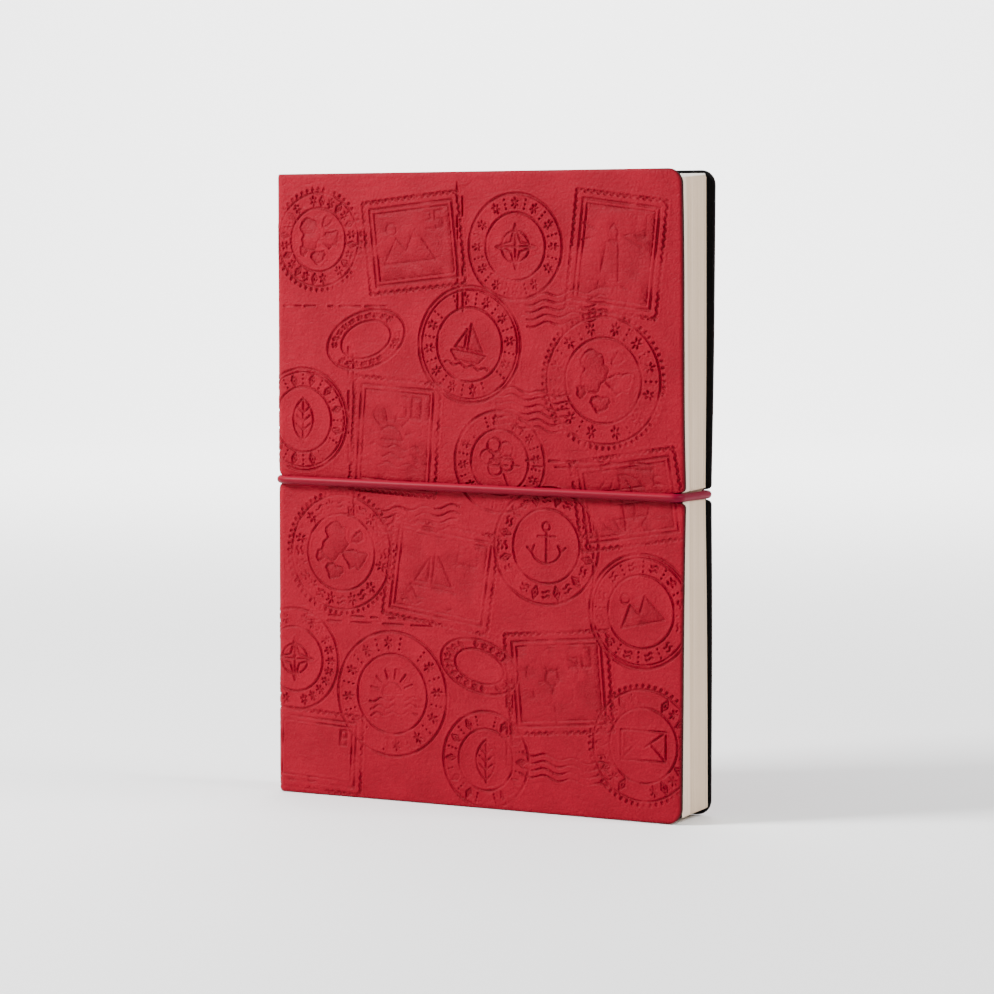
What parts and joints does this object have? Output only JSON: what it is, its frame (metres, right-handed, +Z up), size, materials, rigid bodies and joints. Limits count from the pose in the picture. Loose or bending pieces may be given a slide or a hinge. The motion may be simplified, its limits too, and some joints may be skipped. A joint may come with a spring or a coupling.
{
  "type": "soft-cover album",
  "caption": "Soft-cover album: embossed leatherette covers with rounded corners, a sewn block of blank cream leaves and an elastic cord that holds it shut round the middle",
  "frame": {"origin": "On the resting plane, under the middle of the closed book with its cord", "axes": "+Z runs up the spine from tail to head, +X from the spine to the fore-edge, and the front cover faces -Y"},
  "size_m": [0.1248, 0.0222, 0.17],
  "materials": {
    "leatherette": "red leatherette, fine grain, blind embossed, satin",
    "cover_card": "black flexible card, cut edges",
    "black_paper": "black endpaper, matt",
    "leaf_paper": "cream uncoated paper, cut edges",
    "gauze": "open cotton gauze with dried glue",
    "thread": "waxed cotton thread",
    "elastic": "round elastic with a smooth red cover"
  },
  "bodies": {
    "book_block": {"spine_skin": "leatherette", "spine_card": "cover_card", "spine_mull": "gauze", "sewing_thread": "thread", "front_flyleaf_root": "black_paper", "back_flyleaf_root": "black_paper", "leaf_roots": "leaf_paper", "section_01": "leaf_paper", "section_02": "leaf_paper", "section_03": "leaf_paper", "section_04": "leaf_paper", "section_05": "leaf_paper", "section_06": "leaf_paper", "section_07": "leaf_paper", "section_08": "leaf_paper", "section_09": "leaf_paper", "section_10": "leaf_paper"},
    "front_cover": {"front_cover_skin": "leatherette", "front_cover_board": "cover_card", "front_cover_lining": "black_paper"},
    "back_cover": {"back_cover_skin": "leatherette", "back_cover_board": "cover_card", "back_cover_lining": "black_paper"},
    "front_flyleaf": {"front_flyleaf": "black_paper"},
    "back_flyleaf": {"back_flyleaf": "black_paper"},
    "elastic_cord": {"elastic_cord": "elastic"},
    "leaf_01": {"leaf_01": "leaf_paper"},
    "leaf_02": {"leaf_02": "leaf_paper"},
    "leaf_03": {"leaf_03": "leaf_paper"},
    "leaf_04": {"leaf_04": "leaf_paper"},
    "leaf_05": {"leaf_05": "leaf_paper"},
    "leaf_06": {"leaf_06": "leaf_paper"}
  },
  "joints": [
    {"name": "front_cover_hinge", "type": "hinge", "parent": "book_block", "child": "front_cover", "pos_m": [-0.05756, -0.00865, 0.085], "axis": [0, 0, -1], "range_deg": [0, 178], "deforming": ["elastic_cord"]},
    {"name": "back_cover_hinge", "type": "hinge", "parent": "book_block", "child": "back_cover", "pos_m": [-0.05756, 0.00865, 0.085], "axis": [0, 0, 1], "range_deg": [0, 178], "deforming": ["elastic_cord"]},
    {"name": "front_flyleaf_hinge", "type": "hinge", "parent": "book_block", "child": "front_flyleaf", "pos_m": [-0.05423, -0.00735, 0.085], "axis": [0, 0, -1], "range_deg": [0, 140]},
    {"name": "leaf_01_hinge", "type": "hinge", "parent": "book_block", "child": "leaf_01", "pos_m": [-0.05343, -0.0071, 0.085], "axis": [0, 0, -1], "range_deg": [0, 122]},
    {"name": "leaf_02_hinge", "type": "hinge", "parent": "book_block", "child": "leaf_02", "pos_m": [-0.05262, -0.00685, 0.085], "axis": [0, 0, -1], "range_deg": [0, 103]},
    {"name": "leaf_03_hinge", "type": "hinge", "parent": "book_block", "child": "leaf_03", "pos_m": [-0.05183, -0.0066, 0.085], "axis": [0, 0, -1], "range_deg": [0, 84]},
    {"name": "leaf_04_hinge", "type": "hinge", "parent": "book_block", "child": "leaf_04", "pos_m": [-0.05103, -0.00635, 0.085], "axis": [0, 0, -1], "range_deg": [0, 64]},
    {"name": "leaf_05_hinge", "type": "hinge", "parent": "book_block", "child": "leaf_05", "pos_m": [-0.05022, -0.0061, 0.085], "axis": [0, 0, -1], "range_deg": [0, 43]},
    {"name": "leaf_06_hinge", "type": "hinge", "parent": "book_block", "child": "leaf_06", "pos_m": [-0.04942, -0.00585, 0.085], "axis": [0, 0, -1], "range_deg": [0, 20]},
    {"name": "back_flyleaf_hinge", "type": "hinge", "parent": "book_block", "child": "back_flyleaf", "pos_m": [-0.05423, 0.00735, 0.085], "axis": [0, 0, 1], "range_deg": [0, 140]},
    {"name": "elastic_cord_slide", "type": "slide", "parent": "back_cover", "child": "elastic_cord", "axis": [0, 0, 1], "range_m": [0, 0.1], "deforming": ["elastic_cord"]}
  ],
  "couplings": [
    {"joint": "front_flyleaf_hinge", "follows": "front_cover_hinge", "ratio": 0.78652},
    {"joint": "leaf_01_hinge", "follows": "front_cover_hinge", "ratio": 0.68539},
    {"joint": "leaf_02_hinge", "follows": "front_cover_hinge", "ratio": 0.57865},
    {"joint": "leaf_03_hinge", "follows": "front_cover_hinge", "ratio": 0.47191},
    {"joint": "leaf_04_hinge", "follows": "front_cover_hinge", "ratio": 0.35955},
    {"joint": "leaf_05_hinge", "follows": "front_cover_hinge", "ratio": 0.24157},
    {"joint": "leaf_06_hinge", "follows": "front_cover_hinge", "ratio": 0.11236},
    {"joint": "back_flyleaf_hinge", "follows": "back_cover_hinge", "ratio": 0.78652},
    {"joint": "elastic_cord_slide", "follows": "front_cover_hinge", "m_per_rad": 0.032156}
  ]
}
